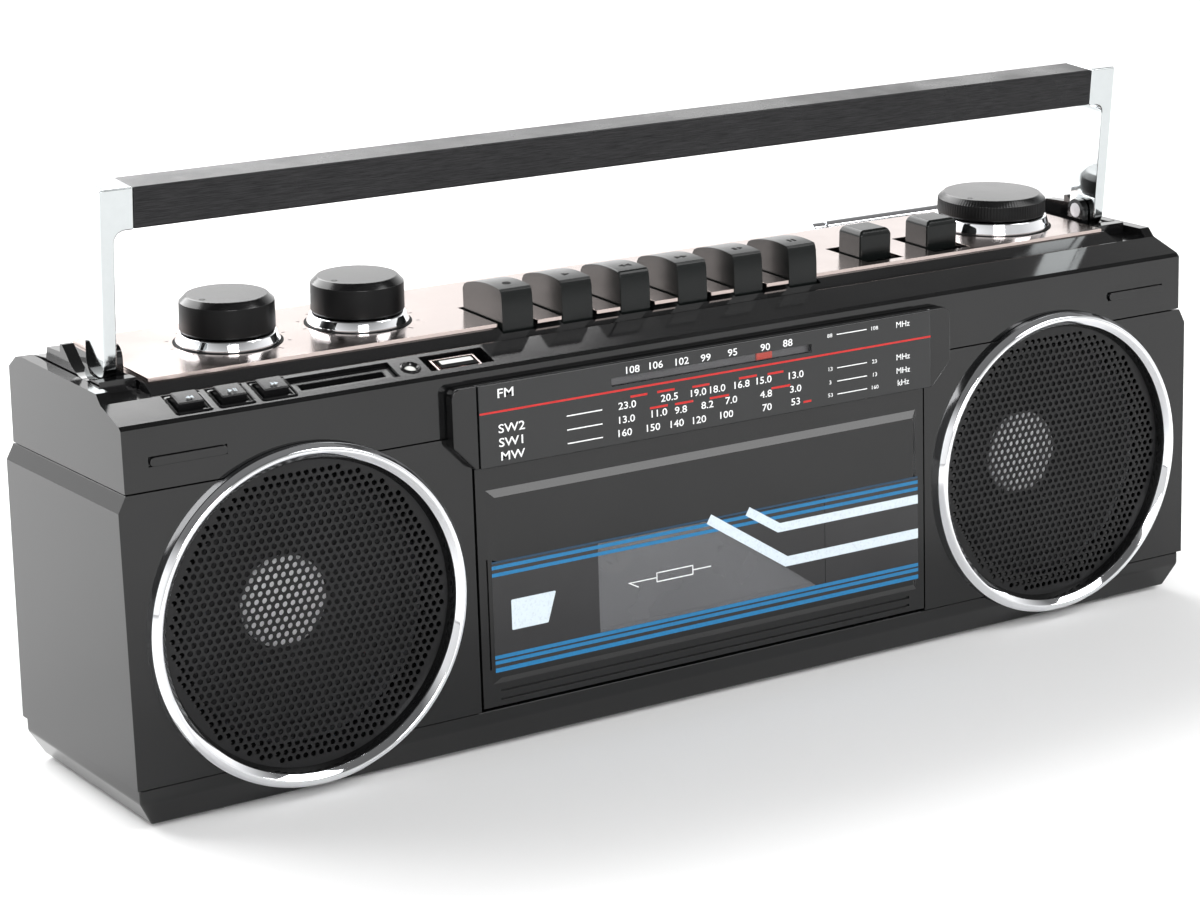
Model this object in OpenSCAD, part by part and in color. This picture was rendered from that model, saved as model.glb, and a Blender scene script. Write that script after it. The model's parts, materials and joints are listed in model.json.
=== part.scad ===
/* [Case] */
// Width of the lower case
case_w = 350; // [340:1:360]
// Width of the upper case
upper_w = 345.6; // [338:0.2:348]
// Depth of the case at its foot
case_d = 74; // [73:0.5:75]
// Height of the joint between base and case
base_h = 11.6; // [11.2:0.1:12]
// Height of the joint between the lower and the upper case
seam_h = 88; // [87.5:0.1:88.5]
// Thickness of the case walls
wall = 2.6; // [2:0.1:3]
// Gap shown at the joints of the shells
seam_gap = 0.3; // [0.2:0.05:0.5]

/* [Top] */
// Height of the front edge of the control shelf
shelf_h = 105.2; // [104:0.1:106]
// Height of the raised deck at its front edge
deck_h = 112.3; // [111.5:0.1:113]
// Tilt of the deck towards the front, in degrees
deck_tilt = 3; // [2:0.5:3.5]
// Thickness of the metal top plate
plate_t = 1; // [0.6:0.1:1.2]
// Half width of the metal top plate
plate_x = 157; // [156:0.5:157.5]

/* [Handle] */
// Forward lean of the handle at rest, in degrees
handle_lean = 6; // [4:0.5:7]
// Height of the handle top above its pivot
handle_h = 45; // [42:0.5:46]
// Width of the handle straps, seen from the side
strap_w = 11.8; // [11:0.1:12]
// Thickness of the handle straps
strap_t = 3.6; // [3:0.1:3.8]
// Height of the grip bar
grip_h = 11; // [10:0.5:11.5]

/* [Speakers] */
// Distance of each speaker from the middle
speaker_x = 124; // [122:0.5:125]
// Height of the speaker centres
speaker_z = 48.5; // [47:0.5:49]
// Outer radius of the chrome rings
ring_r = 45.3; // [44.5:0.1:45.6]
// Radius of the opening inside the rings
mouth_r = 41.6; // [41:0.1:42]

/* [Controls] */
// Distance between neighbouring piano keys
key_pitch = 18.85; // [18:0.05:19]
// Width of a piano key
key_w = 9.6; // [9:0.1:10]
// Radius of the volume and tone knobs
knob_r = 12.6; // [11.5:0.1:13]
// Radius of the tuning knob
tuning_r = 16.3; // [15:0.1:17]
// Distance between the small push buttons
button_pitch = 11.8; // [11:0.1:12.5]

/* [Cassette] */
// Half width of the cassette door
door_x = 74.4; // [73.5:0.1:74.6]
// Width of the space for the cassette
bay_w = 102; // [101.5:0.1:103]
// Distance between the two tape spindles
spindle_pitch = 42.5; // [42:0.1:43]

/* [Hidden] */

$fn = 64;
hull_fn = 32;
tiny = 0.01;
fit = 0.05;
play = 0.35;

// The front face of the case, so that the whole set is centred on the origin.
dial_proud = 4;
front_y = -(case_d + dial_proud) / 2 + dial_proud;
half_w = case_w / 2;
upper_x = upper_w / 2;
foot_h = 1.2;
bevel_h = 4;

// Outline of the upper case, as depth from the front face and height.
shelf_back = 11.6;
shelf_back_h = 108.8;
shelf_nose = 1.4;
shelf_tilt = atan((shelf_back_h - shelf_h) / (shelf_back - shelf_nose));
deck_front = 17.5;
deck_back = 64;
deck_rise = tan(deck_tilt);
ledge_drop = 4;
rim_x = upper_x - 3.5;
rear_top_d = 70;
rear_top_h = 109;
rear_seam_d = 71;
rear_d = 68.4;

// Handle pivots, as depth and height.
pivot_d = 31.5;
pivot_z = 116;
strap_out = 165;
pin_r = 2.2;
corner_w = 9;

// Knobs: place across, depth on the deck, radius of the ring below.
knob_d = 40.5;
volume_x = -123.5;
tone_x = -85;
tuning_x = 133;
knob_h = 12.8;
tuning_h = 10;
knob_ring_h = 3;
tuning_ring_h = 3.8;
shaft_r = 3;

// Dust caps: radius and height of the dome.
cap_r = 12.4;
cap_h = 4.4;

// Piano keys: the first one's middle, and the rod that all six turn on.
key_first = -49.8;
key_front = 16;
key_back = 36.6;
key_top = 121.4;
axle_d = 53;
axle_z = 103;
axle_r = 1.5;
key_gap = 0.65;
key_slot_back = 38.2;
tongue = 2.4;

// Slide switches on the deck.
function_x = 77.5;
band_x = 102;
slide_w = 12.8;
slide_front = 20.5;
slide_back = 41;
slider_d = 30.7;

// Push buttons and sockets on the sloping shelf.
button_first = -151.5;
shelf_mid = 6.4;
card_x = -108;
card_w = 30;
led_x = -88.4;
usb_x = -74.4;
usb_w = 19;
socket_d = 7.6;

// Dial.
dial_low = 79.2;
dial_top = 101.7;
tab_x = 82;
pointer_x = 17.7;
pointer_low = -33.5;
pointer_high = 32.5;
pointer_slot_z = 98;
drum_r = 19;
drum_x = 96;
drum_d = 44;

// Cassette door, turning on pins at its foot.
door_low = 12.7;
door_top = 78.7;
door_hinge_d = 2.4;
door_hinge_z = 15;
door_pin_r = 1.2;
window_low = 27;
window_high = 52.5;
window_left = -38;
window_right = 38;
carrier_back = 17;
spindle_z = 43;
capstan_x = 24;
capstan_z = 68;
capstan_front = 12.2;
flywheel_r = 16;
motor_x = -26;
motor_z = 62;
pulley_r = 4;
chassis_d = 20;

// Battery bay in the rear cover.
bay_x = 56;
bay_low = 20;
bay_high = 78;
bay_depth = 46;
door_plate_d = 70;
battery_hinge_d = 71.4;
battery_hinge_z = 21.6;

// Telescopic antenna along the rear top edge, folded to the left.
antenna_x = 157;
antenna_d = 71.2;
antenna_z = 112.7;
antenna_end = 93;
knuckle_h = 1.1;
knuckle_pin_r = 0.8;

module in_case() { translate([0, front_y, 0]) children(); }

// A box given by its limits.
module slab(x0, x1, y0, y1, z0, z1) {
    translate([x0, y0, z0]) cube([x1 - x0, y1 - y0, z1 - z0]);
}

// An outline of depth and height, pushed out sideways between two places.
module bar_x(x0, x1, points) {
    translate([x0, 0, 0]) rotate([90, 0, 90]) linear_extrude(x1 - x0) polygon(points);
}

// An outline of width and height, pushed back between two depths.
module bar_y(y0, y1) {
    translate([0, y1, 0]) rotate([90, 0, 0]) linear_extrude(y1 - y0) children();
}

module rod_x(x0, x1, d, z, r) {
    translate([x0, d, z]) rotate([0, 90, 0]) cylinder(h = x1 - x0, r = r);
}

module rod_y(x, z, d0, d1, r) {
    translate([x, d0, z]) rotate([-90, 0, 0]) cylinder(h = d1 - d0, r = r);
}

module both_sides() {
    children();
    mirror([1, 0, 0]) children();
}

// The deck's own frame: level with the metal plate, at a depth on the deck.
module on_deck(x, d) {
    translate([x, d, deck_h + (d - deck_front) * deck_rise]) rotate([deck_tilt, 0, 0]) children();
}

// The shelf's own frame, at a place along the slope.
module on_shelf(x, s) {
    translate([x, shelf_nose, shelf_h]) rotate([shelf_tilt, 0, 0]) translate([0, s, 0]) children();
}

function deck_at(d) = deck_h + (d - deck_front) * deck_rise;
function key_x(i) = key_first + i * key_pitch;
function key_lane(i, w) = [key_x(i) - w / 2, key_x(i) + w / 2];
function arc(cx, cy, r, a0, a1, n) =
    [for (i = [0:n]) [cx + r * cos(a0 + (a1 - a0) * i / n), cy + r * sin(a0 + (a1 - a0) * i / n)]];

// ---------- Case ----------

// Side outline of the lower case.
module case_side(inset, low, high) {
    bar_x(-half_w + inset, half_w - inset, [
        [inset, low], [case_d - inset, low],
        [rear_seam_d - inset, high], [inset, high]]);
}

module speaker_holes(r, d0, d1) {
    both_sides() rod_y(speaker_x, speaker_z, d0, d1, r);
}

module front_cabinet() {
    color([0.07, 0.07, 0.07]) in_case() difference() {
        union() {
            difference() {
                case_side(0, base_h + seam_gap, seam_h);
                slab(-half_w + wall, half_w - wall, 3, case_d + 5, 0, seam_h + 1);
            }
            intersection() {
                speaker_holes(mouth_r + 2.4, 2.5, 5.5);
                case_side(0.5, base_h + seam_gap, seam_h);
            }
            both_sides() slab(75.2, 81, 0.5, 5.2, base_h + seam_gap, 19);
            slab(-76, 76, 1.2, 4, dial_low + 0.6, 86);
        }
        both_sides() bar_y(-1, case_d + 5) polygon([
            [half_w - 2.2, seam_h + tiny], [half_w + 1, seam_h - bevel_h - 2], [half_w + 1, seam_h + tiny]]);
        slab(-75, 75, -1, 7, 0, dial_low - 0.2);
        slab(-75, 75, -1, 1.2, 60, seam_h + 1);
        slab(-75, 75, 4, 7, 60, seam_h + 1);
        slab(-75, 75, -1, 7, 86, seam_h + 1);
        speaker_holes(mouth_r + 0.3, -1, 3.2);
        speaker_holes(35, 3, 9);
        rod_x(-80, 80, door_hinge_d, door_hinge_z, door_pin_r + fit);
    }
}

module base_tray() {
    color([0.06, 0.06, 0.06]) in_case() difference() {
        hull() {
            slab(-half_w + 0.8, half_w - 0.8, 0.8, case_d - 0.6, base_h - 3.6, base_h);
            slab(-half_w + 4.6, half_w - 4.6, 3.2, case_d - 3, foot_h, foot_h + 1);
        }
        slab(-half_w + 6.5, half_w - 6.5, 5.5, case_d - 5.5, foot_h + wall, base_h + 1);
        speaker_holes(mouth_r + 0.3, -1, 3.3);
    }
}

// The upper case: a sloping shelf, a raised deck, two side ledges and two rims.
module upper_outline() {
    bar_x(-upper_x, upper_x, [
        [0.4, seam_h + seam_gap], [0.4, shelf_h - 1], [shelf_nose, shelf_h], [shelf_back, shelf_back_h],
        [deck_back, deck_at(deck_back) - ledge_drop], [rear_top_d, rear_top_h],
        [rear_seam_d, seam_h + seam_gap]]);
}

module side_rims() {
    both_sides() bar_x(rim_x, upper_x, [
        [shelf_back, 100], [shelf_back, shelf_back_h - tiny], [14, 111.3], [62, 112.8], [65, 112.2],
        [rear_top_d, rear_top_h], [rear_top_d, 100]]);
}

module deck_block(drop) {
    intersection() {
        bar_x(-plate_x - 2, plate_x + 2, [
            [shelf_back, 100], [shelf_back, shelf_back_h - 0.2], [deck_front, deck_at(deck_front) - drop],
            [deck_back, deck_at(deck_back) - drop], [deck_back + 1.6, deck_at(deck_back) - 2.4],
            [rear_top_d, rear_top_h], [rear_top_d, 100]]);
        bar_y(0, 80) polygon([
            [-plate_x - 1.6, 90], [-plate_x - 1.6, shelf_back_h], [-plate_x, 120],
            [plate_x, 120], [plate_x + 1.6, shelf_back_h], [plate_x + 1.6, 90]]);
    }
}

module knob_holes(r) {
    for (x = [volume_x, tone_x, tuning_x]) on_deck(x, knob_d) translate([0, 0, -12]) cylinder(h = 20, r = r);
}

module deck_slots(extra) {
    for (i = [0:5]) {
        lane = key_lane(i, key_w + 2 * key_gap + extra);
        slab(lane[0], lane[1], key_front - 1.4, key_slot_back + extra, 98, 130);
    }
    for (x = [function_x, band_x])
        slab(x - (slide_w + extra) / 2, x + (slide_w + extra) / 2,
            slide_front - extra / 2, slide_back + extra / 2, 98, 130);
}

module top_cover() {
    color([0.07, 0.07, 0.07]) in_case() difference() {
        union() {
            upper_outline();
            side_rims();
            deck_block(plate_t);
        }
        // Hollow under the deck, and a lower one under the ledges.
        bar_x(-plate_x + 3, plate_x - 3, [
            [3.2, 80], [3.2, shelf_h - 3.4], [13.5, shelf_back_h - 3.4],
            [deck_front + 1.5, deck_at(deck_front) - 4], [deck_back - 2, deck_at(deck_back) - 4],
            [rear_top_d - 4, rear_top_h - 2.4], [rear_top_d - 2.6, 80]]);
        both_sides() bar_x(plate_x - 4, upper_x - wall, [
            [3.2, 80], [3.2, shelf_h - 3.4], [13.5, shelf_back_h - 3.6],
            [deck_back - 2, deck_at(deck_back) - 7.2], [rear_top_d - 2.6, rear_top_h - 6],
            [rear_top_d - 2.6, 80]]);
        deck_slots(0);
        knob_holes(5);
        speaker_holes(mouth_r + 0.3, -1, 3.3);
        slab(-75, 75, -2, 4, 80, dial_top - 2);
        // Trim grooves near the upper corners of the front.
        both_sides() slab(144.5, 166, -1, 1.1, 94.2, 96.8);
        for (i = [0:2]) on_shelf(button_first + i * button_pitch, shelf_mid) {
            cube([7.9, 6.3, 20], center = true);
            cube([10.4, 8.6, 1.2], center = true);
        }
        on_shelf(card_x, shelf_mid - 0.6) cube([card_w, socket_d, 20], center = true);
        on_shelf(usb_x, shelf_mid - 0.6) cube([usb_w, socket_d, 20], center = true);
        on_shelf(led_x, shelf_mid - 1) translate([0, 0, -6]) cylinder(h = 12, r = 2.3);
        translate([antenna_x, antenna_d - 8, antenna_z]) rotate([-90, 0, 0]) cylinder(h = 12, r = 2.1);
        slab(antenna_x - 4.4, antenna_x + 4.4, antenna_d - 4.4, 76, antenna_z - 4.2, 120);
        // Room behind the rear edge for the folded rod.
        rod_x(antenna_end - 8, antenna_x, antenna_d, antenna_z, 3.4);
    }
}

// The rear panel, with the walls of the battery bay.
module rear_cover() {
    color([0.08, 0.08, 0.08]) in_case() difference() {
        union() {
            bar_x(-half_w + wall + 0.2, half_w - wall - 0.2, [
                [rear_d, base_h + seam_gap], [case_d, base_h + seam_gap],
                [rear_seam_d, seam_h], [rear_d, seam_h]]);
            slab(-bay_x - 2, bay_x + 2, bay_depth - 2, rear_d + 1, bay_low - 2, bay_high + 2);
        }
        slab(-bay_x, bay_x, bay_depth, 80, bay_low, bay_high);
        slab(-bay_x - 1, bay_x + 1, door_plate_d - 0.5, 80, bay_low - 0.2, bay_high + 1);
        rod_x(-bay_x - 2.6, bay_x + 2.6, battery_hinge_d, battery_hinge_z, 1.4);
        translate([-137, 60, 29]) cube([24, 30, 18]);
        // Louvres for the supply's heat.
        for (i = [0:6]) slab(100 + i * 8, 104 + i * 8, 60, 80, 28, 62);
    }
}

// The sheet between the key slots runs on over the bevel in front, as short tongues.
module plate_sheet(front) {
    bar_x(-plate_x, plate_x, [
        [front, deck_at(front) - plate_t + 0.02], [deck_back, deck_at(deck_back) - plate_t + 0.02],
        [deck_back, deck_at(deck_back)], [front, deck_at(front)]]);
}

module top_plate() {
    tongue_w = key_pitch - key_w - 2 * key_gap - 0.4;
    color([0.78, 0.69, 0.66]) in_case() difference() {
        intersection() {
            plate_sheet(deck_front - tongue);
            union() {
                slab(-plate_x, plate_x, deck_front, deck_back, 100, 130);
                for (i = [0:4]) translate([(key_x(i) + key_x(i + 1) - tongue_w) / 2, deck_front - tongue, 100])
                    cube([tongue_w, tongue + 1, 30]);
            }
        }
        deck_slots(0.2);
        knob_holes(5.2);
    }
}

module feet() {
    color([0.12, 0.12, 0.12]) in_case() for (x = [-150, 150], d = [12, 62])
        translate([x, d, 0]) cylinder(h = foot_h, r = 6);
}

// ---------- Handle ----------

// Brackets on the side ledges: a cheek that carries the pin, a stop in front, a curved guard outside.
module bracket() {
    floor_z = deck_at(20) - ledge_drop - 0.6;
    difference() {
        union() {
            slab(158.8, 161, pivot_d - 3.4, pivot_d + 3.4, floor_z, pivot_z);
            rod_x(158.8, 161, pivot_d, pivot_z, 3.4);
            slab(158.8, 168.8, 20.8, 24.8, floor_z, 112.4);
            bar_x(165.5, 168.8, concat(
                [[20.8, floor_z], [20.8, 112.4], [24.8, 112.4]],
                arc(30, 125.5, 14, -112, -40, 8),
                [[43, 118.4], [44.4, 118.4], [44.4, 116.4], [53, 116.2], [54, 113.2], [62, 112.6], [63, 109]]));
            slab(158.8, 168.8, 38.6, 63, floor_z, deck_at(38) - ledge_drop + 0.5);
        }
        // The post's round foot turns above the bracket's floor.
        rod_x(161.02, 165.4, pivot_d, pivot_z, strap_w / 2 + play);
        rod_x(157, 170, pivot_d, pivot_z, pin_r);
        upper_outline();
    }
}

module handle_brackets() {
    color([0.1, 0.11, 0.11]) in_case() both_sides() bracket();
}

module handle_pins() {
    color([0.7, 0.7, 0.72]) in_case() both_sides()
        rod_x(158.8, strap_out - 1.2, pivot_d, pivot_z, pin_r);
}

module handle_frame() {
    in_case() translate([0, pivot_d, pivot_z]) rotate([handle_lean, 0, 0]) children();
}

module handle_straps() {
    color([0.85, 0.86, 0.88]) handle_frame() both_sides() difference() {
        union() {
            slab(strap_out - strap_t, strap_out, -strap_w / 2, strap_w / 2, 0, handle_h);
            rod_x(strap_out - strap_t, strap_out, 0, 0, strap_w / 2);
            slab(strap_out - corner_w, strap_out, -strap_w / 2, strap_w / 2, handle_h - grip_h, handle_h);
            // Small fillet below the corner.
            bar_y(-strap_w / 2, strap_w / 2) polygon(concat(
                [[strap_out - strap_t + 0.2, handle_h - grip_h + 0.2]],
                arc(strap_out - strap_t - 3, handle_h - grip_h - 3, 3, 90, 0, 6)));
        }
        translate([strap_out - strap_t - 1, 0, 0]) rotate([0, 90, 0])
            cylinder(h = strap_t, r = pin_r + fit);
    }
}

module handle_grip() {
    color([0.1, 0.1, 0.1]) handle_frame()
        slab(-strap_out + corner_w, strap_out - corner_w, -strap_w / 2 + 0.15, strap_w / 2 - 0.15,
            handle_h - grip_h + 0.15, handle_h - 0.15);
}

// ---------- Knobs ----------

module knob_ring(x, r, h) {
    on_deck(x, knob_d) difference() {
        rotate_extrude() polygon([
            [4.6, 0.02], [r + 1.2, 0.02], [r + 1.2, 0.9],
            [r + 0.3, h - 0.4], [r - 0.4, h - 0.1], [4.6, h - 0.1]]);
        translate([0, 0, -1]) cylinder(h = 10, r = 4.6);
    }
}

module knob_rings() {
    color([0.85, 0.86, 0.88]) in_case() {
        knob_ring(volume_x, knob_r, knob_ring_h);
        knob_ring(tone_x, knob_r, knob_ring_h);
        knob_ring(tuning_x, tuning_r, tuning_ring_h);
    }
}

// A knob on a shaft of its own, which runs down into the control below.
module knob(x, r, low, high) {
    color([0.06, 0.06, 0.06]) in_case() on_deck(x, knob_d) {
        rotate_extrude() polygon([
            [0, low + 0.3], [r - 0.2, low + 0.3], [r, low + 0.8],
            [r - 0.15, high - 1.5], [r - 1.6, high], [0, high]]);
        translate([0, 0, -9]) cylinder(h = low + 10, r = shaft_r);
    }
}

module volume_knob() { knob(volume_x, knob_r, knob_ring_h, knob_h); }
module tone_knob() { knob(tone_x, knob_r, knob_ring_h, knob_h); }

// The tuning knob's shaft also carries a small friction wheel for the cord drum.
module tuning_knob() {
    knob(tuning_x, tuning_r, tuning_ring_h, tuning_h + 0.2);
    color([0.06, 0.06, 0.06]) in_case() on_deck(tuning_x, knob_d)
        translate([0, 0, -16]) cylinder(h = 8, r = 2.5);
}

module control_pots() {
    color([0.35, 0.36, 0.38]) in_case() for (x = [volume_x, tone_x]) on_deck(x, knob_d) difference() {
        translate([-9, -9, -16]) cube([18, 18, 9]);
        translate([0, 0, -9.5]) cylinder(h = 5, r = shaft_r + fit);
    }
}

module tuning_capacitor() {
    color([0.7, 0.7, 0.66]) in_case() on_deck(drum_x, drum_d) difference() {
        translate([-10, -10, -28]) cube([20, 20, 9.5]);
        translate([0, 0, -24]) cylinder(h = 8, r = shaft_r + fit);
    }
}

module cord_drum() {
    color([0.9, 0.9, 0.86]) in_case() on_deck(drum_x, drum_d) {
        translate([0, 0, -23]) cylinder(h = 8, r = shaft_r);
        translate([0, 0, -16]) cylinder(h = 3.4, r = drum_r);
    }
}

// ---------- Dial ----------

module dial_outline() {
    polygon(concat(
        arc(tab_x - 2.4, dial_top - 2.4, 2.4, 90, 0, 5),
        [[tab_x, 86], [door_x + 1.2, dial_low + 0.1], [-door_x - 1.2, dial_low + 0.1], [-tab_x, 86]],
        arc(-tab_x + 2.4, dial_top - 2.4, 2.4, 180, 90, 5)));
}

module dial_frame() {
    color([0.07, 0.07, 0.07]) in_case() difference() {
        bar_y(-3.4, -0.05) dial_outline();
        slab(-door_x - 0.1, door_x + 0.1, -5, -2.3, 70, 110);
        slab(-73, 73, -6, 1, 80.8, 100.6);
    }
}

module dial_lens() {
    color([0.12, 0.12, 0.12, 0.6]) in_case()
        slab(-door_x, door_x, -dial_proud, -2.5, dial_low + 0.15, dial_top);
}

module dial_scale() {
    color([0.05, 0.05, 0.05]) in_case() difference() {
        slab(-72.8, 72.8, -1.3, -0.7, 81, 100.4);
        slab(pointer_low, pointer_high, -2, 0, pointer_slot_z - 0.6, pointer_slot_z + 0.6);
    }
}

module dial_pointer() {
    color([0.8, 0.1, 0.08]) in_case() {
        slab(pointer_x - 2.6, pointer_x + 2.6, -2.2, -1.6, 93.8, pointer_slot_z + 0.4);
        slab(pointer_x - 0.8, pointer_x + 0.8, -1.7, -0.2, pointer_slot_z - 0.3, pointer_slot_z + 0.3);
        slab(pointer_x - 3, pointer_x + 3, -0.3, 1.2, 90, 99);
    }
}

// ---------- Speakers ----------

module speaker_rings() {
    color([0.85, 0.86, 0.88]) in_case() both_sides() translate([speaker_x, 0, speaker_z]) rotate([90, 0, 0])
        rotate_extrude($fn = 128) polygon([
            [mouth_r, 0.05], [ring_r, 0.05], [ring_r, 1.4], [ring_r - 0.5, 2.6], [ring_r - 1.4, 3.4],
            [ring_r - 2.4, 3.5], [mouth_r + 0.5, 2.6], [mouth_r, 1.6]]);
}

module grilles() {
    color([0.03, 0.03, 0.03]) in_case() both_sides() rod_y(speaker_x, speaker_z, 0.6, 1.6, mouth_r);
}

module speaker_baskets() {
    color([0.3, 0.3, 0.32]) in_case() both_sides() translate([speaker_x, 0, speaker_z]) rotate([-90, 0, 0]) {
        rotate_extrude() polygon([
            [35.2, 5.6], [39, 5.6], [39, 7.4], [35.6, 8.2], [18, 22],
            [18, 24], [16, 24], [16, 21.4], [34.2, 7]]);
        translate([0, 0, 24]) cylinder(h = 9, r = 24);
        translate([0, 0, 20.4]) cylinder(h = 3.7, r = 9);
    }
}

module speaker_cones() {
    color([0.08, 0.08, 0.09]) in_case() both_sides() translate([speaker_x, 0, speaker_z]) rotate([-90, 0, 0])
        rotate_extrude() polygon(concat(
            [[cap_r + 0.1, 17], [cap_r + 0.1, 16]], arc(32, 6.4, 1.8, 180, 360, 6), [[33.8, 7], [30.8, 7.2]]));
}

module dust_caps() {
    color([0.75, 0.76, 0.78]) in_case() both_sides() translate([speaker_x, 0, speaker_z]) rotate([-90, 0, 0])
        rotate_extrude() polygon(concat(
            [[0, 16], [0, 16 - cap_h]], [for (i = [1:6]) [cap_r * sin(15 * i), 16 - cap_h * cos(15 * i)]]));
}

// ---------- Keys ----------

// One piano key: a humped cap on an arm that turns on the rod behind it.
module key(i) {
    lane = key_lane(i, key_w);
    color([0.08, 0.085, 0.085]) in_case() difference() {
        union() {
            bar_x(lane[0], lane[1], concat(
                [[key_front + 0.4, 104.5], [key_front - 0.1, 112]],
                [[key_front - 0.1, 116], [key_front + 0.1, 119.6], [key_front + 0.5, key_top - 0.5]],
                arc(24.5, 82.2, 40, 100.8, 76, 10),
                [[35.7, 120.4], [key_back, 119.2], [key_back, 104.5]]));
            bar_x(lane[0] + 2, lane[1] - 2, [
                [30, 101.5], [30, 106.5], [axle_d, 106], [axle_d, 100]]);
            rod_x(lane[0] + 2, lane[1] - 2, axle_d, axle_z, 3.2);
        }
        rod_x(lane[0] - 1, lane[1] + 1, axle_d, axle_z, axle_r + fit);
    }
}

module key_record() { key(0); }
module key_play() { key(1); }
module key_rewind() { key(2); }
module key_forward() { key(3); }
module key_stop() { key(4); }
module key_pause() { key(5); }

module key_axle() {
    color([0.7, 0.7, 0.72]) in_case() {
        rod_x(-64, 60, axle_d, axle_z, axle_r);
        for (x = [-63, 57]) difference() {
            slab(x, x + 3, 46, 59, 92, 106.5);
            rod_x(x - 1, x + 4, axle_d, axle_z, axle_r);
        }
    }
}

// ---------- Slide switches, buttons and sockets ----------

module slider(x) {
    color([0.08, 0.085, 0.085]) in_case() on_deck(x, slider_d) {
        hull() {
            translate([-5.6, -5.4, -1.4]) cube([11.2, 10.8, 8.2]);
            translate([-4.6, -4.6, 0]) cube([9.2, 9.2, 8]);
        }
        translate([-2, -3, -7]) cube([4, 6, 6]);
    }
}

module function_slider() { slider(function_x); }
module band_slider() { slider(band_x); }

module slide_switches() {
    color([0.4, 0.4, 0.42]) in_case() for (x = [function_x, band_x]) on_deck(x, slider_d) difference() {
        translate([-5, -11, -11.8]) cube([10, 22, 6.3]);
        translate([-2.4, -8.6, -8]) cube([4.8, 17.2, 4]);
    }
}

module push_button(i) {
    color([0.09, 0.1, 0.1]) in_case() on_shelf(button_first + i * button_pitch, shelf_mid) {
        translate([-3.5, -2.8, -3.4]) cube([7, 5.6, 5]);
        translate([-1.5, -1.5, -5]) cube([3, 3, 2]);
    }
}

module button_back() { push_button(0); }
module button_play() { push_button(1); }
module button_next() { push_button(2); }

module card_slot() {
    color([0.05, 0.05, 0.05]) in_case() on_shelf(card_x, shelf_mid - 0.6) difference() {
        translate([-card_w / 2 + 0.2, -socket_d / 2 + 0.2, -20]) cube([card_w - 0.4, socket_d - 0.4, 19]);
        translate([-12.2, -1.3, -18]) cube([24.4, 2.6, 30]);
    }
}

module usb_socket() {
    color([0.8, 0.72, 0.66]) in_case() on_shelf(usb_x, shelf_mid - 0.6) {
        difference() {
            translate([-6.6, -2.9, -16]) cube([13.2, 5.8, 15.2]);
            translate([-6.1, -2.4, -14.5]) cube([12.2, 4.8, 20]);
        }
        translate([-5.6, 0.3, -14.6]) cube([11.2, 1.8, 11]);
    }
}

module status_led() {
    color([0.75, 0.15, 0.1]) in_case() on_shelf(led_x, shelf_mid - 1) {
        translate([0, 0, -5]) cylinder(h = 4.6, r = 2.2);
        translate([0, 0, -6]) cylinder(h = 1.02, r = 2.9);
    }
}

// ---------- Cassette deck ----------

module cassette_door() {
    color([0.07, 0.07, 0.07]) in_case() difference() {
        union() {
            slab(-door_x, door_x, -0.2, 2.6, door_low, door_top);
            both_sides() rod_x(door_x - 1, 79.4, door_hinge_d, door_hinge_z, door_pin_r);
            hull() {
                slab(-71.5, 71.5, -0.2, 0.2, 19, 72.5);
                slab(-69.5, 69.5, -1.6, 0, 21, 70.5);
            }
        }
        slab(window_left, window_right, -3, 4, window_low, window_high);
        for (z = [14.6, 17]) slab(-69, 69, -1, 0.5, z - 0.4, z + 0.4);
    }
}

module door_window() {
    color([0.35, 0.36, 0.38, 0.5]) in_case() {
        slab(window_left + 0.1, window_right - 0.1, -1.55, 2.5, window_low + 0.1, window_high - 0.1);
    }
}

// Side channels that hold the cassette, fastened behind the door.
module cassette_carrier() {
    color([0.1, 0.1, 0.1]) in_case() {
        both_sides() {
            slab(bay_w / 2 + 0.5, bay_w / 2 + 3, 2.6, carrier_back, 13.2, 76);
            slab(bay_w / 2 - 5, bay_w / 2 + 1, carrier_back - 1.6, carrier_back, 13.2, 76);
            slab(bay_w / 2 + 0.5, 72.6, 2.6, 4.4, 13.2, 17);
        }
        slab(-bay_w / 2 - 1, bay_w / 2 + 1, 2.6, carrier_back, 13.2, 14.6);
    }
}

module chassis_holes(r) {
    for (x = [-spindle_pitch / 2, spindle_pitch / 2]) rod_y(x, spindle_z, 10, 40, r);
}

module deck_chassis() {
    color([0.62, 0.63, 0.65]) in_case() difference() {
        union() {
            slab(-66, 66, chassis_d, chassis_d + 1.6, 13, 78);
            both_sides() slab(64.4, 66, 6, chassis_d + 1, 13, 78);
        }
        chassis_holes(2.05);
        rod_y(capstan_x, capstan_z, 10, 40, 1.25);
    }
}

module spindle(x) {
    color([0.92, 0.92, 0.9]) in_case() {
        rod_y(x, spindle_z, 12, chassis_d + 4, 2);
        rod_y(x, spindle_z, 16, chassis_d - 0.4, 6);
        for (a = [0:120:240]) translate([x, 12.6, spindle_z]) rotate([0, a, 0])
            slab(-0.6, 0.6, 0, 3.6, 1.2, 3.6);
        rod_y(x, spindle_z, chassis_d + 2.2, chassis_d + 4, 8);
    }
}

module supply_spindle() { spindle(-spindle_pitch / 2); }
module takeup_spindle() { spindle(spindle_pitch / 2); }

module flywheel() {
    color([0.75, 0.75, 0.77]) in_case() difference() {
        union() {
            rod_y(capstan_x, capstan_z, capstan_front, 32, 1.2);
            rod_y(capstan_x, capstan_z, 26, 31, flywheel_r);
        }
        translate([capstan_x, 28.5, capstan_z]) rotate([90, 0, 0]) rotate_extrude()
            polygon([[flywheel_r - 1.2, -1], [flywheel_r + 1, -1.6],
                [flywheel_r + 1, 1.6], [flywheel_r - 1.2, 1]]);
    }
}

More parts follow.
